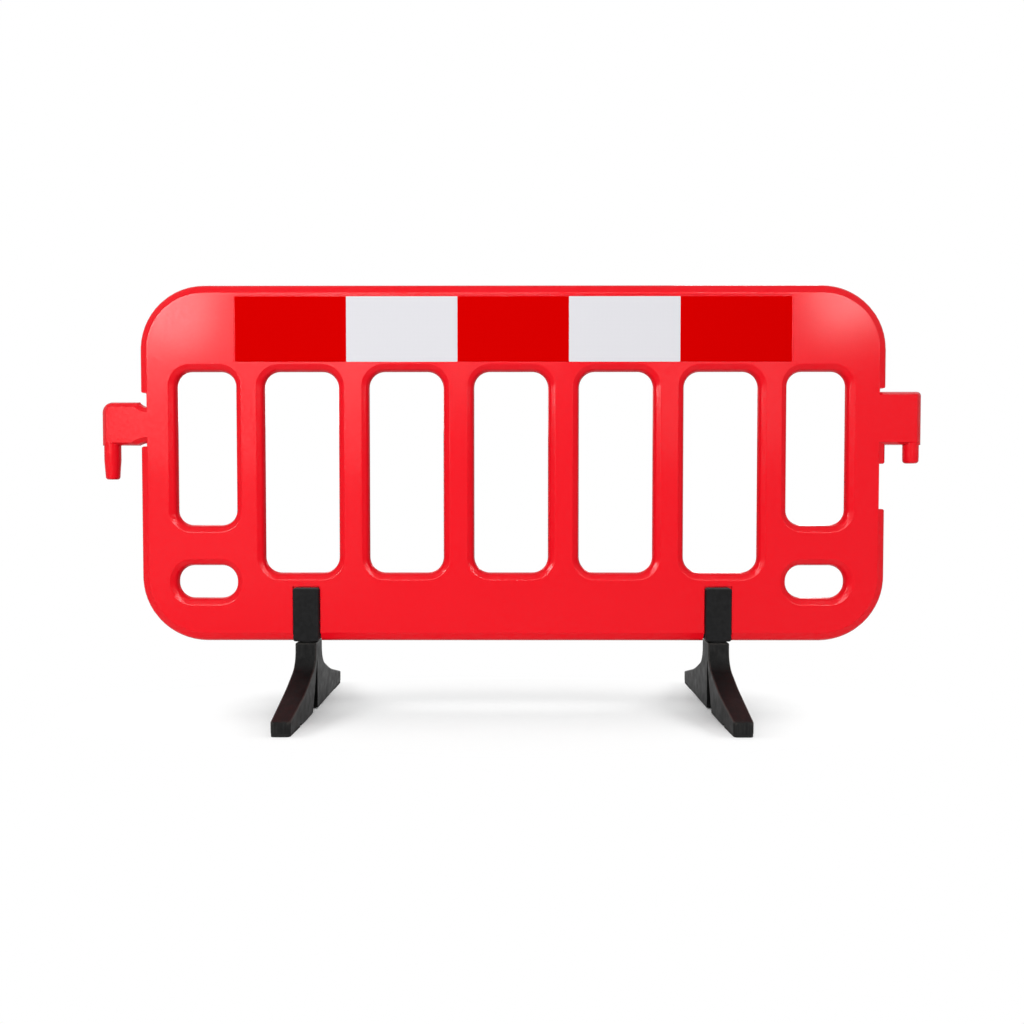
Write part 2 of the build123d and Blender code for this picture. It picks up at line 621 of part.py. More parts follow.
    # Foot: side profile of neck and two legs, narrowed in plan towards the toes
    half_length = FOOT_LENGTH / 2
    pad_start = half_length - PAD_LENGTH
    with BuildPart() as foot:
        with BuildSketch(Plane.YZ.offset(foot_x - FOOT_WIDTH / 2)) as side_profile:
            with BuildLine():
                Polyline(
                    (-half_length, PAD_SEAT_Z),
                    (-half_length, TOE_HEIGHT),
                    (-SLOPE_KNEE_Y, SLOPE_KNEE_Z),
                    (-NECK_DEPTH / 2, SLOPE_ROOT_Z),
                    (-NECK_DEPTH / 2, NECK_TOP),
                    (NECK_DEPTH / 2, NECK_TOP),
                    (NECK_DEPTH / 2, SLOPE_ROOT_Z),
                    (SLOPE_KNEE_Y, SLOPE_KNEE_Z),
                    (half_length, TOE_HEIGHT),
                    (half_length, PAD_SEAT_Z),
                    (pad_start, PAD_SEAT_Z),
                    (pad_start, SOLE_CLEARANCE),
                    (-pad_start, SOLE_CLEARANCE),
                    (-pad_start, PAD_SEAT_Z),
                    close=True,
                )
            make_face()
            for corner_z, corner_radius in (
                (SLOPE_ROOT_Z, SLOPE_ROOT_RADIUS),
                (SLOPE_KNEE_Z, SLOPE_KNEE_RADIUS),
                (TOE_HEIGHT, TOE_TOP_RADIUS),
            ):
                corners = side_profile.vertices().filter_by_position(
                    Axis.Y, corner_z - NEAR, corner_z + NEAR
                )
                fillet(corners, corner_radius)
        extrude(amount=FOOT_WIDTH)
        with BuildSketch(Plane.XY) as plan:
            with BuildLine():
                Polyline(
                    (foot_x - FRONT_TOE_WIDTH / 2, -half_length),
                    (foot_x + FRONT_TOE_WIDTH / 2, -half_length),
                    (foot_x + FOOT_WIDTH / 2, -TOE_TAPER_START),
                    (foot_x + FOOT_WIDTH / 2, TOE_TAPER_START),
                    (foot_x + REAR_TOE_WIDTH / 2, half_length),
                    (foot_x - REAR_TOE_WIDTH / 2, half_length),
                    (foot_x - FOOT_WIDTH / 2, TOE_TAPER_START),
                    (foot_x - FOOT_WIDTH / 2, -TOE_TAPER_START),
                    close=True,
                )
            make_face()
            toe_corners = plan.vertices().group_by(Axis.Y)[0] + plan.vertices().group_by(Axis.Y)[-1]
            fillet(toe_corners, TOE_CORNER_RADIUS)
        extrude(amount=CLIP_TOP, mode=Mode.INTERSECT)
        # Pockets on both sides that part the front leg from the column under the neck
        for pocket_x, inwards in ((foot_x - FOOT_WIDTH / 2, 1), (foot_x + FOOT_WIDTH / 2, -1)):
            with BuildSketch(Plane.YZ.offset(pocket_x)):
                with BuildLine():
                    Polyline(
                        (POCKET_BACK_Y, 0),
                        (POCKET_FRONT_Y, 0),
                        (POCKET_TOP_Y, POCKET_TOP_Z),
                        (POCKET_BACK_Y, POCKET_TOP_Z),
                        close=True,
                    )
                make_face()
            extrude(amount=inwards * POCKET_DEPTH, mode=Mode.SUBTRACT)
        # Bore of the swivel bush and the well of the lock nut
        with BuildSketch(Plane.XY):
            with Locations((foot_x, 0)):
                Circle(BUSH_RADIUS + BUSH_SEAT_GAP)
        extrude(amount=CLIP_TOP, mode=Mode.SUBTRACT)
        with BuildSketch(Plane.XY):
            with Locations((foot_x, 0)):
                Circle(NUT_WELL_RADIUS)
        extrude(amount=NUT_WELL_TOP, mode=Mode.SUBTRACT)
        # Holes for the plugs of the pads
        with BuildSketch(Plane.XY):
            for end in (-1, 1):
                for offset in (-PLUG_SPACING / 2, PLUG_SPACING / 2):
                    with Locations((foot_x, end * (half_length - PAD_LENGTH / 2) + offset)):
                        Circle(PLUG_HOLE_RADIUS)
        extrude(amount=PAD_SEAT_Z + PLUG_HEIGHT + PAD_SEAT_GAP, mode=Mode.SUBTRACT)
    finish(foot, f"{side_name}_foot")

    # Swivel bush in the neck
    with BuildPart() as bush:
        with BuildSketch(Plane.XY.offset(NUT_WELL_TOP)):
            with Locations((foot_x, 0)):
                Circle(BUSH_RADIUS)
                Circle(SWIVEL_BORE_RADIUS, mode=Mode.SUBTRACT)
        extrude(amount=NECK_TOP - NUT_WELL_TOP)
    finish(bush, f"{side_name}_swivel_bush")

    # Sole pads with their plugs
    for end_name, end, toe_width in (("front", -1, FRONT_TOE_WIDTH), ("rear", 1, REAR_TOE_WIDTH)):
        with BuildPart() as pad:
            toe_half = toe_width / 2 - PAD_INSET
            heel_share = (half_length - pad_start) / (half_length - TOE_TAPER_START)
            heel_half = toe_half + heel_share * (FOOT_WIDTH - toe_width) / 2
            toe_y = end * (half_length - PAD_INSET)
            heel_y = end * (pad_start + PAD_INSET)
            with BuildSketch(Plane.XY) as pad_plan:
                with BuildLine():
                    Polyline(
                        (foot_x - toe_half, toe_y),
                        (foot_x + toe_half, toe_y),
                        (foot_x + heel_half, heel_y),
                        (foot_x - heel_half, heel_y),
                        close=True,
                    )
                make_face()
                fillet(pad_plan.vertices(), TOE_CORNER_RADIUS)
            extrude(amount=PAD_HEIGHT)
            with BuildSketch(Plane.XY):
                for offset in (-PLUG_SPACING / 2, PLUG_SPACING / 2):
                    with Locations((foot_x, end * (half_length - PAD_LENGTH / 2) + offset)):
                        Circle(PLUG_RADIUS)
            extrude(amount=PAD_HEIGHT + PLUG_HEIGHT)
        finish(pad, f"{side_name}_{end_name}_pad")
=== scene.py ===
"""The looks of a plastic safety barrier: finishes, softened edges, studio light and camera."""
import math

import bmesh
import bpy
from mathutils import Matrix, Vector


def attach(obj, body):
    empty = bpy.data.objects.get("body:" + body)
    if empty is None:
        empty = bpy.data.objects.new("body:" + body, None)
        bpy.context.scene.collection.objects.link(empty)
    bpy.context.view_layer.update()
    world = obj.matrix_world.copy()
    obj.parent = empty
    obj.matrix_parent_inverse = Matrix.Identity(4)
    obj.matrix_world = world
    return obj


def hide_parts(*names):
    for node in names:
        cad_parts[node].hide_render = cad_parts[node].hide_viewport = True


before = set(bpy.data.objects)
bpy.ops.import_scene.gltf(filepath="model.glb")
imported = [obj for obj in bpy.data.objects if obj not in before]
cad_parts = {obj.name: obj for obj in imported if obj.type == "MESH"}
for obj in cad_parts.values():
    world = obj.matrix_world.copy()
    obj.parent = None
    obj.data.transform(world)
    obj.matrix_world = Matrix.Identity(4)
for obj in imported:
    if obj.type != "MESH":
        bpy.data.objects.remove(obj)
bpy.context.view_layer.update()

# The photograph's camera: its place in metres, and its turns in degrees
CAMERA_PLACE = (0.0078, -2.0790, 0.5360)
CAMERA_YAW = -0.157
CAMERA_PITCH = 1.550
CAMERA_ROLL = 0.004

# Turn in degrees that brings a camera from looking straight down to looking level
LEVEL_TURN = 90.0

# The camera's sensor in millimetres, and its image and focal length in pixels
SENSOR_WIDTH = 36.0
IMAGE_SIZE = 1024
FOCAL_PIXELS = 849.0

# Edges of the mouldings, in metres and degrees
WELD_GAP = 1e-5
FLAT_ANGLE = 0.2
SMOOTH_ANGLE = 32.0
PANEL_EDGE = 0.0012
CLIP_EDGE = 0.0010
FOOT_EDGE = 0.0020
FOOT_ROUND = 0.0030
PAD_EDGE = 0.0008
EDGE_SEGMENTS = 3

# Places on the feet, in metres: where neck and toe ends get painted light, and the bounds of the outline
NECK_RISE = (0.100, 0.135)
TOE_END = (0.254, 0.260)
NECK_HALF = 0.031
TOE_START = 0.151
SOLE_RISE = 0.012

# Ranges that the finishes share: all of a share, and the middle of a noise
SHARE = (0.0, 1.0)
NOISE_MIDDLE = (0.3, 0.7)
NOISE_CORE = (0.35, 0.65)

# Scale of a noise whose coordinates are already stretched
UNSCALED = 1.0

# Finishes: colours from dark to light, noises by features to the metre, and heights in metres

# Panel; its walls that face sideways are duller: how far they turn, and their share of the sheen
PANEL_REDS = ((0.890, 0.0036, 0.0120), (0.910, 0.0044, 0.0135))
PANEL_CLOUDS = 5.0
PANEL_WAVES = 7.0
PANEL_WAVE_HEIGHT = 0.0003
PANEL_DAPPLE = 150.0
PANEL_DAPPLE_HEIGHT = 0.00004
PANEL_PEEL = 190.0
PANEL_PEEL_HEIGHT = 0.00005
PANEL_ROUGHNESS = (0.15, 0.18)
PANEL_SHEEN = (0.10, 0.24)
PANEL_IOR = 1.5
SIDE_TURN = (0.28, 0.60)
SIDE_SHEEN = 0.35

# Reflector tiles: colours of the rims and of the cells, and the rim as a part of a cell
REFLECTOR_COLOURS = {
    "red": ((0.62, 0.0, 0.0), (0.68, 0.0, 0.0)),
    "white": ((0.725, 0.72, 0.755), (0.77, 0.765, 0.80)),
}
REFLECTOR_CELLS = 320.0
REFLECTOR_RIM = (0.02, 0.10)
REFLECTOR_CELL_HEIGHT = 0.00002
REFLECTOR_ROUGHNESS = 0.30
REFLECTOR_SHEEN = 0.01

# Clips, paler on what faces up as a painted highlight
CLIP_BLACKS = ((0.008, 0.008, 0.0082), (0.015, 0.015, 0.0155))
CLIP_CLOUDS = 110.0
CLIP_GRAIN = 1400.0
CLIP_GRAIN_HEIGHT = 0.00006
CLIP_ROUGHNESS = (0.50, 0.62)
CLIP_SHEEN = 0.12
TOP_HIGHLIGHT_TURN = (0.15, 0.60)
TOP_HIGHLIGHT_COLOUR = (0.060, 0.060, 0.058)

# Feet, with streaks and clouds multiplied, and neck and toe ends made paler by painted light
FOOT_BLACKS = ((0.002, 0.002, 0.002), (0.008, 0.0078, 0.0078))
FOOT_PAINTED_LIGHT = ((0.007, 0.007, 0.007), (0.022, 0.0218, 0.0215))
FOOT_STREAKS = (420.0, 420.0, 16.0)
FOOT_STREAK_HEIGHT = 0.00025
FOOT_CLOUDS = 45.0
FOOT_PRODUCT = (0.12, 0.40)
FOOT_GRAIN = 900.0
FOOT_GRAIN_HEIGHT = 0.00012
FOOT_ROUGHNESS = (0.42, 0.58)
FOOT_SHEEN = 0.12

# Edges of the clips and the feet, paler as wear and as a painted highlight
CLIP_WORN_HIGHLIT = ((0.010, 0.010, 0.010), (0.030, 0.030, 0.031))
FOOT_WORN_HIGHLIT = ((0.008, 0.0075, 0.007), (0.030, 0.026, 0.023))
WORN_SCUFFS = 240.0
WORN_GRAIN = 900.0
WORN_GRAIN_HEIGHT = 0.00005
WORN_ROUGHNESS = (0.34, 0.46)
WORN_SHEEN = 0.25

# Rubber of the pads
PAD_BLACKS = ((0.008, 0.008, 0.008), (0.014, 0.014, 0.014))
PAD_CLOUDS = 80.0
PAD_GRAIN = 1800.0
PAD_GRAIN_HEIGHT = 0.00008
PAD_ROUGHNESS = (0.72, 0.85)
PAD_SHEEN = 0.3

# Zinc of the fasteners
ZINC_GREYS = ((0.60, 0.61, 0.63), (0.72, 0.72, 0.70))
ZINC_CLOUDS = 220.0
ZINC_MARKS = (60.0, 60.0, 2400.0)
ZINC_MARK_HEIGHT = 0.00002
ZINC_ROUGHNESS = (0.24, 0.36)

# Nylon of the swivels
NYLON_BLACKS = ((0.010, 0.010, 0.010), (0.016, 0.016, 0.016))
NYLON_CLOUDS = 150.0
NYLON_GRAIN = 900.0
NYLON_GRAIN_HEIGHT = 0.00003
NYLON_ROUGHNESS = (0.30, 0.40)
NYLON_SHEEN = 0.5

# Floor: its size in metres, and its white as it is seen and as it throws light back on the object
FLOOR_SIZE = 60.0
FLOOR_SEEN = 1.0
FLOOR_BOUNCE = 0.40

# Zone of the floor that keeps the shadow, in metres: its shift, its stretch on each axis, its fade along X
SHADOW_SHIFT = (0.0, 0.03, 0.0)
SHADOW_SHAPE = (1.0, 3.0, 0.0)
SHADOW_FADE = (0.55, 1.10)

# Room: its level on the camera's side and behind the object, and the turn between them
ROOM_LEVELS = (0.08, 1.0)
ROOM_TURN = (0.25, 0.80)
ROOM_COLOUR = (1.0, 1.0, 1.0, 1.0)

# Softboxes, in metres and watts
SOFTBOX_AIM = (0.0, 0.0, 0.60)
GLARE_BOXES = {
    "left_key": {"place": (-1.68, -2.10, 1.466), "size": (0.42, 0.42), "power": 10.5},
    "left_wide": {"place": (-1.15, -2.12, 1.100), "size": (1.30, 0.90), "power": 10.0},
    "left_low": {"place": (-1.40, -2.12, 0.356), "size": (1.50, 0.80), "power": 2.5},
    "left_mid": {"place": (-1.80, -2.11, 1.150), "size": (0.35, 0.35), "power": 1.0},
    "left_arm": {"place": (-1.94, -2.11, 0.880), "size": (0.26, 0.32), "power": 0.7},
    "left_rim": {"place": (-2.60, -2.10, 1.650), "size": (0.60, 1.00), "power": 90.0},
    "right_key": {"place": (1.62, -2.10, 1.500), "size": (0.30, 0.36), "power": 6.4},
    "right_wide": {"place": (0.98, -2.12, 1.066), "size": (0.75, 0.70), "power": 3.3},
    "right_rim": {"place": (2.60, -2.10, 1.650), "size": (0.50, 0.90), "power": 20.0},
    "front_rim": {"place": (0.00, -2.10, 2.050), "size": (4.20, 0.60), "power": 110.0},
    "rear_key": {"place": (1.30, 2.30, 1.600), "size": (0.90, 0.70), "power": 22.0},
    "rear_wide": {"place": (-1.00, 2.30, 1.300), "size": (1.40, 0.90), "power": 10.0},
}
FILL_BOXES = {
    "front": {"place": (-0.85, -5.40, 2.10), "size": (2.50, 1.50), "power": 282.0},
    "rear": {"place": (0.40, 5.40, 2.10), "size": (2.50, 1.50), "power": 120.0},
    "top": {"place": (0.00, 0.60, 3.40), "size": (5.00, 4.00), "power": 16.0},
}
FLOOR_BOXES = {
    "floor_left": {"place": (-2.60, -0.05, 1.80), "size": (1.80, 1.20), "power": 40.0},
    "floor_right": {"place": (2.60, -0.05, 1.80), "size": (1.80, 1.20), "power": 40.0},
    "floor_top": {"place": (0.00, -0.05, 3.40), "size": (5.00, 4.00), "power": 74.0},
}

# Words that the names of the nodes are made of
SIDES = ("left", "right")
ENDS = ("front", "rear")
FASTENERS = ("clip_bolts", "clip_nuts", "swivel_bolt", "flat_washer", "lock_nut")
BEARINGS = ("thrust_washer", "swivel_bush")


# Node helpers

def start_material(name, constants):
    """A new material with its tree, its shader, which gets these constants, and its object coordinates."""
    material = bpy.data.materials.new(name)
    material.use_nodes = True
    tree = material.node_tree
    shader = tree.nodes["Principled BSDF"]
    for socket, value in constants.items():
        shader.inputs[socket].default_value = value
    place = tree.nodes.new("ShaderNodeTexCoord").outputs["Object"]
    return material, tree, shader, place


def stretched(tree, place, scale):
    """Coordinates scaled along each axis."""
    node = tree.nodes.new("ShaderNodeMapping")
    node.inputs["Scale"].default_value = scale
    tree.links.new(place, node.inputs["Vector"])
    return node.outputs["Vector"]


def noise(tree, place, per_metre, detail=3.0):
    """Smooth noise from 0 to 1 with this many features to the metre."""
    node = tree.nodes.new("ShaderNodeTexNoise")
    node.inputs["Scale"].default_value = per_metre
    node.inputs["Detail"].default_value = detail
    tree.links.new(place, node.inputs["Vector"])
    return node.outputs["Fac"]


def remapped(tree, value, source, target):
    """A value moved from one range to another, and held inside it."""
    node = tree.nodes.new("ShaderNodeMapRange")
    node.inputs["From Min"].default_value = source[0]
    node.inputs["From Max"].default_value = source[1]
    node.inputs["To Min"].default_value = target[0]
    node.inputs["To Max"].default_value = target[1]
    tree.links.new(value, node.inputs["Value"])
    return node.outputs["Result"]


def calculated(tree, operation, *values):
    """The result of a sum, a product or the like."""
    node = tree.nodes.new("ShaderNodeMath")
    node.operation = operation
    for value, socket in zip(values, node.inputs):
        tree.links.new(value, socket)
    return node.outputs["Value"]


def tinted(tree, share, first, second):
    """A colour between two; each is a socket or a colour."""
    node = tree.nodes.new("ShaderNodeMix")
    node.data_type = "RGBA"
    tree.links.new(share, node.inputs["Factor"])
    colour_inputs = [socket for socket in node.inputs if socket.type == "RGBA"]
    colour_outputs = [socket for socket in node.outputs if socket.type == "RGBA"]
    for colour, socket in zip((first, second), colour_inputs):
        if isinstance(colour, tuple):
            socket.default_value = (*colour, 1.0)
        else:
            tree.links.new(colour, socket)
    return colour_outputs[0]


def along(tree, vector, axis):
    """The part of a vector along an axis."""
    node = tree.nodes.new("ShaderNodeSeparateXYZ")
    tree.links.new(vector, node.inputs["Vector"])
    return node.outputs[axis]


def facing(tree, axis):
    """How far the surface faces along an axis, from -1 to 1."""
    return along(tree, tree.nodes.new("ShaderNodeTexCoord").outputs["Normal"], axis)


def clouded(tree, shader, place, per_metre, colours, roughness):
    """Gives a shader a colour and a roughness that vary in the same clouds."""
    clouds = noise(tree, place, per_metre)
    tree.links.new(tinted(tree, clouds, *colours), shader.inputs["Base Color"])
    tree.links.new(remapped(tree, clouds, NOISE_MIDDLE, roughness), shader.inputs["Roughness"])


def bumped(tree, shader, layers):
    """Raises the surface by layers of values from 0 to 1, each with its height in metres."""
    normal = None
    for value, height in layers:
        node = tree.nodes.new("ShaderNodeBump")
        node.inputs["Distance"].default_value = height
        tree.links.new(value, node.inputs["Height"])
        if normal:
            tree.links.new(normal, node.inputs["Normal"])
        normal = node.outputs["Normal"]
    tree.links.new(normal, shader.inputs["Normal"])


def seen_rays(tree, path):
    """1 for rays from the camera, from a reflection or through glass, and 0 for the others."""
    seen = calculated(tree, "MAXIMUM", path.outputs["Is Camera Ray"], path.outputs["Is Glossy Ray"])
    return calculated(tree, "MAXIMUM", seen, path.outputs["Is Transmission Ray"])


def mixed(tree, share, first, second):
    """A shader between two."""
    node = tree.nodes.new("ShaderNodeMixShader")
    for value, socket in zip((share, first, second), node.inputs):
        tree.links.new(value, socket)
    return node.outputs["Shader"]


# Materials

def panel_plastic():
    """Satin red polyethylene, orange-peeled and gently waved, and duller on walls that face sideways."""
    # The mean is for a viewer that leaves out the varied sheen
    mean_sheen = sum(PANEL_SHEEN) / len(PANEL_SHEEN)
    material, tree, shader, place = start_material(
        "panel_plastic", {"IOR": PANEL_IOR, "Specular IOR Level": mean_sheen})
    clouds = noise(tree, place, PANEL_CLOUDS, detail=1.0)
    tree.links.new(tinted(tree, clouds, *PANEL_REDS), shader.inputs["Base Color"])
    peel = noise(tree, place, PANEL_PEEL, detail=2.0)
    tree.links.new(remapped(tree, peel, NOISE_MIDDLE, PANEL_ROUGHNESS), shader.inputs["Roughness"])
    waves = noise(tree, place, PANEL_WAVES, detail=0.0)
    dapple = noise(tree, place, PANEL_DAPPLE, detail=2.0)
    sheen = remapped(tree, dapple, NOISE_CORE, PANEL_SHEEN)
    sideways = calculated(tree, "ABSOLUTE", facing(tree, "X"))
    kept_share = remapped(tree, sideways, SIDE_TURN, (1.0, SIDE_SHEEN))
    tree.links.new(calculated(tree, "MULTIPLY", sheen, kept_share), shader.inputs["Specular IOR Level"])
    bumped(tree, shader, [
        (waves, PANEL_WAVE_HEIGHT),
        (dapple, PANEL_DAPPLE_HEIGHT),
        (peel, PANEL_PEEL_HEIGHT),
    ])
    return material


def reflector(colour):
    """Smooth reflective sheeting with a faint grid of cells."""
    material, tree, shader, place = start_material(
        f"reflector_{colour}", {"Roughness": REFLECTOR_ROUGHNESS, "Specular IOR Level": REFLECTOR_SHEEN})
    cells = tree.nodes.new("ShaderNodeTexVoronoi")
    cells.feature = "DISTANCE_TO_EDGE"
    cells.inputs["Scale"].default_value = REFLECTOR_CELLS
    cells.inputs["Randomness"].default_value = 0.0
    tree.links.new(place, cells.inputs["Vector"])
    raised = remapped(tree, cells.outputs["Distance"], REFLECTOR_RIM, SHARE)
    tree.links.new(tinted(tree, raised, *REFLECTOR_COLOURS[colour]), shader.inputs["Base Color"])
    bumped(tree, shader, [(raised, REFLECTOR_CELL_HEIGHT)])
    return material


def clip_plastic():
    """Matt black plastic with a fine spark-eroded grain, and paler on what faces up as a painted highlight.
    """
    material, tree, shader, place = start_material("clip_plastic", {"Specular IOR Level": CLIP_SHEEN})
    clouds = noise(tree, place, CLIP_CLOUDS)
    black = tinted(tree, remapped(tree, clouds, NOISE_MIDDLE, SHARE), *CLIP_BLACKS)
    # What faces up is painted paler: a painted highlight on the top edges
    painted_top_highlight = remapped(tree, facing(tree, "Z"), TOP_HIGHLIGHT_TURN, SHARE)
    tree.links.new(tinted(tree, painted_top_highlight, black, TOP_HIGHLIGHT_COLOUR), shader.inputs["Base Color"])
    tree.links.new(remapped(tree, clouds, NOISE_MIDDLE, CLIP_ROUGHNESS), shader.inputs["Roughness"])
    grain = noise(tree, place, CLIP_GRAIN, detail=2.0)
    bumped(tree, shader, [(grain, CLIP_GRAIN_HEIGHT)])
    return material


def foot_plastic():
    """Matt black recycled moulding with vertical flow streaks, a pitted skin, and painted light on its neck
    and toe ends.
    """
    material, tree, shader, place = start_material("foot_plastic", {"Specular IOR Level": FOOT_SHEEN})
    streaks = noise(tree, stretched(tree, place, FOOT_STREAKS), UNSCALED, detail=2.0)
    clouds = noise(tree, place, FOOT_CLOUDS, detail=4.0)
    share = remapped(tree, calculated(tree, "MULTIPLY", streaks, clouds), FOOT_PRODUCT, SHARE)
    # The neck and the toe ends are painted paler as painted light
    neck = remapped(tree, along(tree, place, "Z"), NECK_RISE, SHARE)
    reach = calculated(tree, "ABSOLUTE", along(tree, place, "Y"))
    painted_light_share = calculated(tree, "MAXIMUM", neck, remapped(tree, reach, TOE_END, SHARE))
    black = tinted(tree, share, *FOOT_BLACKS)
    painted_light_black = tinted(tree, share, *FOOT_PAINTED_LIGHT)
    tree.links.new(tinted(tree, painted_light_share, black, painted_light_black), shader.inputs["Base Color"])
    tree.links.new(remapped(tree, clouds, NOISE_MIDDLE, FOOT_ROUGHNESS), shader.inputs["Roughness"])
    grain = noise(tree, place, FOOT_GRAIN)
    bumped(tree, shader, [(streaks, FOOT_STREAK_HEIGHT), (grain, FOOT_GRAIN_HEIGHT)])
    return material


def worn_highlit_edge(name, colours):
    """Scuffed black plastic, smoother than the skin beside it, and paler as wear and as a painted
    highlight.
    """
    material, tree, shader, place = start_material(name, {"Specular IOR Level": WORN_SHEEN})
    scuffs = noise(tree, place, WORN_SCUFFS)
    share = remapped(tree, scuffs, NOISE_CORE, SHARE)
    tree.links.new(tinted(tree, share, *colours), shader.inputs["Base Color"])
    tree.links.new(remapped(tree, scuffs, NOISE_MIDDLE, WORN_ROUGHNESS), shader.inputs["Roughness"])
    bumped(tree, shader, [(noise(tree, place, WORN_GRAIN), WORN_GRAIN_HEIGHT)])
    return material


def pad_rubber():
    """Dull black rubber with a fine grain."""
    material, tree, shader, place = start_material("pad_rubber", {"Specular IOR Level": PAD_SHEEN})
    clouded(tree, shader, place, PAD_CLOUDS, PAD_BLACKS, PAD_ROUGHNESS)
    bumped(tree, shader, [(noise(tree, place, PAD_GRAIN), PAD_GRAIN_HEIGHT)])
    return material


def zinc_steel():
    """Bright zinc plating with faint turning marks and clouds."""
    material, tree, shader, place = start_material("zinc_steel", {"Metallic": 1.0})
    clouded(tree, shader, place, ZINC_CLOUDS, ZINC_GREYS, ZINC_ROUGHNESS)
    marks = noise(tree, stretched(tree, place, ZINC_MARKS), UNSCALED)
    bumped(tree, shader, [(marks, ZINC_MARK_HEIGHT)])
    return material


def nylon():
    """Smooth black nylon."""
    material, tree, shader, place = start_material("nylon", {"Specular IOR Level": NYLON_SHEEN})
    clouded(tree, shader, place, NYLON_CLOUDS, NYLON_BLACKS, NYLON_ROUGHNESS)
    bumped(tree, shader, [(noise(tree, place, NYLON_GRAIN), NYLON_GRAIN_HEIGHT)])
    return material


# Pieces

def outer_shell(mesh):
    """Leaves only the widest of the mesh's separate shells, so that a hollow moulding has no inner wall."""
    found = set()
    shells = []
    for start in mesh.verts:
        if start in found:
            continue
        shell = []
        waiting = [start]
        found.add(start)
        while waiting:
            vertex = waiting.pop()
            shell.append(vertex)
            for edge in vertex.link_edges:
                other = edge.other_vert(vertex)
                if other not in found:
                    found.add(other)
                    waiting.append(other)
        shells.append(shell)

    def width(shell):
        places = [vertex.co.x for vertex in shell]
        return max(places) - min(places)

    widest = max(shells, key=width)
    inner = [vertex for shell in shells if shell is not widest for vertex in shell]
    bmesh.ops.delete(mesh, geom=inner, context="VERTS")


def foot_outline(mesh):
    """The edges along the top of a foot's legs and round its toes, without those of its pockets."""
    widths = [vertex.co.x for vertex in mesh.verts]
    sides = (min(widths), max(widths))

    def outer(vertex):
        beside = min(abs(vertex.co.x - side) for side in sides)
        reach = abs(vertex.co.y)
        return reach > TOE_START or (reach > NECK_HALF and beside < WELD_GAP)

    def raised(vertex):
        return vertex.co.z > SOLE_RISE

    return [line for line in mesh.edges
            if all(map(outer, line.verts)) and any(map(raised, line.verts))]


def clean_mesh(name, node, hollow, outline):
    """A CAD node's mesh, welded, with flat faces cleared, sharp edges marked and its outline weighted."""
    mesh = bmesh.new()
    mesh.from_mesh(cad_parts[node].data)
    bmesh.ops.remove_doubles(mesh, verts=mesh.verts, dist=WELD_GAP)
    if hollow:
        outer_shell(mesh)
    bmesh.ops.dissolve_limit(
        mesh, angle_limit=math.radians(FLAT_ANGLE), verts=mesh.verts, edges=mesh.edges)
    # The line where the two halves of a hollow moulding meet stays sharp, however flat it is
    for line in mesh.edges:
        parting = hollow and all(abs(vertex.co.y) < WELD_GAP for vertex in line.verts)
        line.smooth = not parting and line.calc_face_angle(0.0) < math.radians(SMOOTH_ANGLE)
    for face in mesh.faces:
        face.smooth = True
    if outline:
        weight = mesh.edges.layers.float.new("bevel_weight_edge")
        for line in outline(mesh):
            line[weight] = 0.0 if line.smooth else 1.0
    data = bpy.data.meshes.new(name)
    mesh.to_mesh(data)
    mesh.free()
    # Normals that came with the CAD mesh no longer fit it
    custom = data.attributes.get("custom_normal")
    if custom:
        data.attributes.remove(custom)
    return data


def rounding(piece, name, width, limit):
    """One rounding of a piece's edges, chosen by their weight or by their angle."""
    bevel = piece.modifiers.new(name, "BEVEL")
    bevel.width = width
    bevel.segments = EDGE_SEGMENTS
    bevel.limit_method = limit
    bevel.angle_limit = math.radians(SMOOTH_ANGLE)
    bevel.use_clamp_overlap = True
    return bevel


def soften(piece, edge, outline):
    """Rounds a piece's outline and other sharp edges, evens its shading and hands back the roundings."""
    roundings = []
    if outline:
        roundings.append(rounding(piece, "rounded_outline", FOOT_ROUND, "WEIGHT"))
    roundings.append(rounding(piece, "rounded_edges", edge, "ANGLE"))
    shading = piece.modifiers.new("even_shading", "WEIGHTED_NORMAL")
    shading.keep_sharp = True
    return roundings


def moulding(name, node, body, material, edge, hollow=False, worn_and_highlit=None, outline=None):
    """A piece with softened edges that stands for a CAD node.

    A hollow piece loses its inner wall, worn is the finish of the softened edges, which is paler as wear
    and as a painted highlight, and outline is a function that finds the edges that are rounded more.
    """
    data = clean_mesh(name, node, hollow, outline)
    data.materials.append(material)
    piece = bpy.data.objects.new(name, data)
    bpy.context.scene.collection.objects.link(piece)
    roundings = soften(piece, edge, outline)
    # The softened edges are paler: wear and a painted highlight
    if worn_and_highlit:
        data.materials.append(worn_and_highlit)
        for bevel in roundings:
            bevel.material = len(data.materials) - 1
    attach(piece, body)
    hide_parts(node)
    return piece


def dress(node, material):
    """Gives a CAD node that stays shown its finish."""
    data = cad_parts[node].data
    data.materials.clear()
    data.materials.append(material)


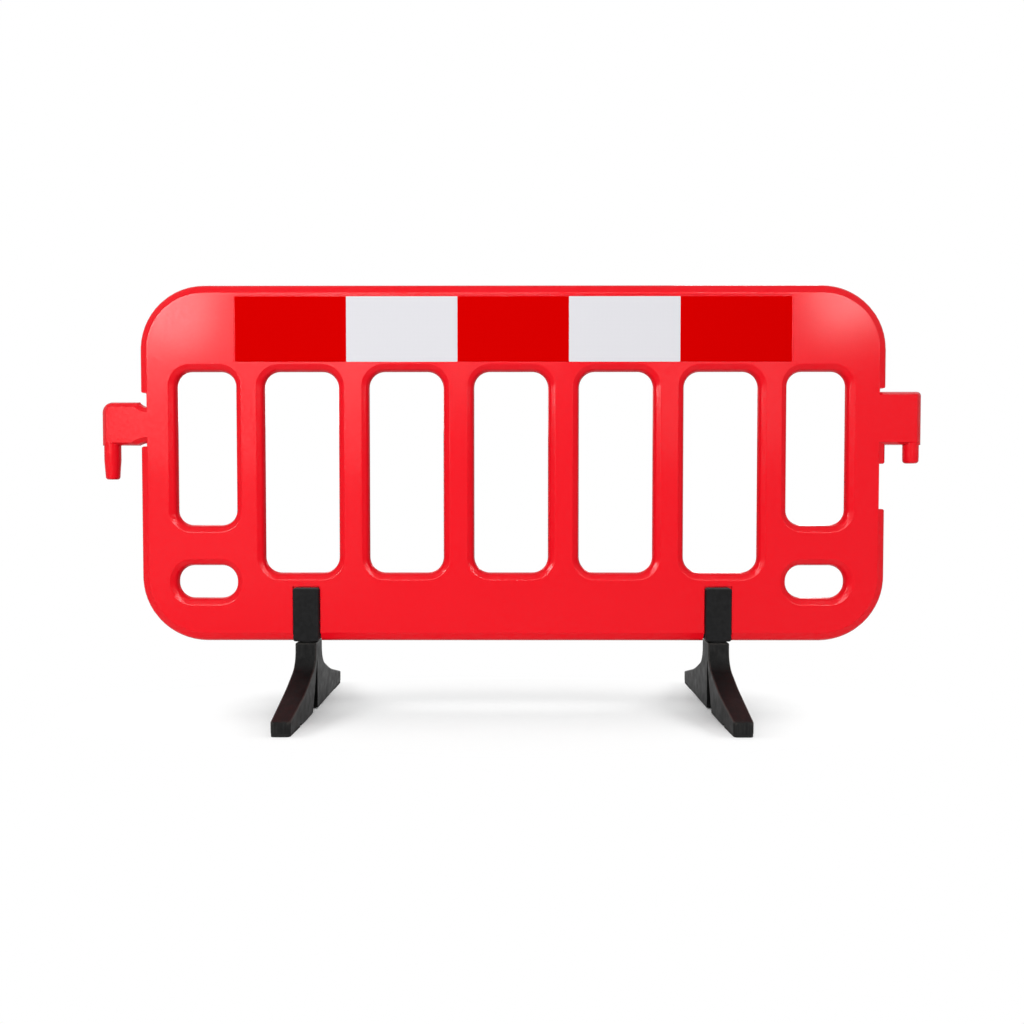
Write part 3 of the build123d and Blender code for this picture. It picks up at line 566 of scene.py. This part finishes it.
def build_pieces():
    """Every piece of the barrier, with its finish; hands back the panel."""
    red = panel_plastic()
    black_clip = clip_plastic()
    black_foot = foot_plastic()
    clip_wear_and_highlight = worn_highlit_edge("clip_wear_and_highlight", CLIP_WORN_HIGHLIT)
    foot_wear_and_highlight = worn_highlit_edge("foot_wear_and_highlight", FOOT_WORN_HIGHLIT)
    rubber = pad_rubber()
    zinc = zinc_steel()
    black_nylon = nylon()
    sheeting = {colour: reflector(colour) for colour in REFLECTOR_COLOURS}
    panel = moulding("panel_moulding", "panel", "barrier", red, PANEL_EDGE, hollow=True)
    # The panel casts no red light on the floor and the feet
    panel.visible_diffuse = False
    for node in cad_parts:
        if node.startswith("reflector"):
            dress(node, sheeting[node.split("_")[1]])
    for side in SIDES:
        foot = f"{side}_foot"
        moulding(
            f"{side}_clip_moulding", f"{side}_foot_clip", "barrier", black_clip, CLIP_EDGE,
            worn_and_highlit=clip_wear_and_highlight)
        moulding(
            f"{side}_foot_moulding", foot, foot, black_foot, FOOT_EDGE,
            worn_and_highlit=foot_wear_and_highlight, outline=foot_outline)
        for end in ENDS:
            pad = f"{side}_{end}_pad"
            moulding(f"{pad}_moulding", pad, foot, rubber, PAD_EDGE)
        for fastener in FASTENERS:
            dress(f"{side}_{fastener}", zinc)
        for bearing in BEARINGS:
            dress(f"{side}_{bearing}", black_nylon)
    return panel


# Studio

def beyond_shadow(tree):
    """0 on the floor by the object, where its shadow lies, and 1 further out."""
    shift = tree.nodes.new("ShaderNodeVectorMath")
    shift.operation = "ADD"
    shift.inputs[1].default_value = SHADOW_SHIFT
    tree.links.new(tree.nodes.new("ShaderNodeTexCoord").outputs["Object"], shift.inputs[0])
    reach = tree.nodes.new("ShaderNodeVectorMath")
    reach.operation = "LENGTH"
    tree.links.new(stretched(tree, shift.outputs["Vector"], SHADOW_SHAPE), reach.inputs[0])
    return remapped(tree, reach.outputs["Value"], SHADOW_FADE, SHARE)


def floor_white():
    """White that keeps the object's shadow, is as white in reflections, and is clear from below."""
    material = bpy.data.materials.new("floor_white")
    material.use_nodes = True
    tree = material.node_tree
    tree.nodes.clear()
    path = tree.nodes.new("ShaderNodeLightPath")
    shade = remapped(tree, path.outputs["Is Diffuse Ray"], SHARE, (FLOOR_SEEN, FLOOR_BOUNCE))
    diffuse = tree.nodes.new("ShaderNodeBsdfDiffuse")
    tree.links.new(shade, diffuse.inputs["Color"])
    glow = tree.nodes.new("ShaderNodeEmission")
    glowing = calculated(tree, "MULTIPLY", seen_rays(tree, path), beyond_shadow(tree))
    above = mixed(tree, glowing, diffuse.outputs["BSDF"], glow.outputs["Emission"])
    below = tree.nodes.new("ShaderNodeBsdfTransparent").outputs["BSDF"]
    from_below = tree.nodes.new("ShaderNodeNewGeometry").outputs["Backfacing"]
    output = tree.nodes.new("ShaderNodeOutputMaterial")
    tree.links.new(mixed(tree, from_below, above, below), output.inputs["Surface"])
    return material


def build_floor():
    """A wide white floor under the barrier."""
    half = FLOOR_SIZE / 2
    data = bpy.data.meshes.new("floor")
    corners = [(-half, -half, 0.0), (half, -half, 0.0), (half, half, 0.0), (-half, half, 0.0)]
    data.from_pydata(corners, [], [range(len(corners))])
    data.materials.append(floor_white())
    floor = bpy.data.objects.new("floor", data)
    bpy.context.scene.collection.objects.link(floor)
    return floor


def build_room():
    """White where it is seen; as light on the object, bright behind it and dark on the camera's side."""
    world = bpy.data.worlds.new("studio")
    bpy.context.scene.world = world
    world.use_nodes = True
    tree = world.node_tree
    background = tree.nodes["Background"]
    background.inputs["Color"].default_value = ROOM_COLOUR
    direction = tree.nodes.new("ShaderNodeTexCoord").outputs["Generated"]
    around = remapped(tree, along(tree, direction, "Y"), ROOM_TURN, ROOM_LEVELS)
    seen = seen_rays(tree, tree.nodes.new("ShaderNodeLightPath"))
    tree.links.new(calculated(tree, "MAXIMUM", around, seen), background.inputs["Strength"])


def build_softbox(name, place, size, power):
    """A rectangular softbox that looks at the middle of the barrier."""
    data = bpy.data.lights.new(name, "AREA")
    data.shape = "RECTANGLE"
    data.size, data.size_y = size
    data.energy = power
    lamp = bpy.data.objects.new(name, data)
    lamp.location = place
    lamp.visible_camera = False
    way = Vector(SOFTBOX_AIM) - lamp.location
    lamp.rotation_euler = way.to_track_quat("-Z", "Y").to_euler()
    bpy.context.scene.collection.objects.link(lamp)
    return lamp


def lit(name, thing, state):
    """A light linking collection that takes one thing in or leaves it out."""
    receivers = bpy.data.collections.new(name)
    receivers.objects.link(thing)
    receivers.collection_objects[0].light_linking.link_state = state
    return receivers


def build_lamps(panel, floor):
    """Lamps for the panel's glare, for the colours and for the floor, each kept to its own work."""
    panel_only = lit("lit_panel", panel, "INCLUDE")
    object_only = lit("lit_object", floor, "EXCLUDE")
    floor_only = lit("lit_floor", floor, "INCLUDE")
    for name, softbox in GLARE_BOXES.items():
        lamp = build_softbox(name, **softbox)
        lamp.visible_diffuse = False
        lamp.light_linking.receiver_collection = panel_only
    for name, softbox in FILL_BOXES.items():
        lamp = build_softbox(name, **softbox)
        lamp.visible_glossy = False
        lamp.light_linking.receiver_collection = object_only
    for name, softbox in FLOOR_BOXES.items():
        lamp = build_softbox(name, **softbox)
        lamp.light_linking.receiver_collection = floor_only


def build_camera():
    """The photograph's camera."""
    data = bpy.data.cameras.new("camera")
    data.sensor_width = SENSOR_WIDTH
    data.lens = FOCAL_PIXELS / IMAGE_SIZE * SENSOR_WIDTH
    camera = bpy.data.objects.new("camera", data)
    camera.location = CAMERA_PLACE
    turns = (LEVEL_TURN - CAMERA_PITCH, CAMERA_ROLL, -CAMERA_YAW)
    camera.rotation_euler = [math.radians(turn) for turn in turns]
    bpy.context.scene.collection.objects.link(camera)
    bpy.context.scene.camera = camera


# The whole scene

build_lamps(build_pieces(), build_floor())
build_room()
build_camera()
bpy.context.scene.view_settings.view_transform = "Standard"
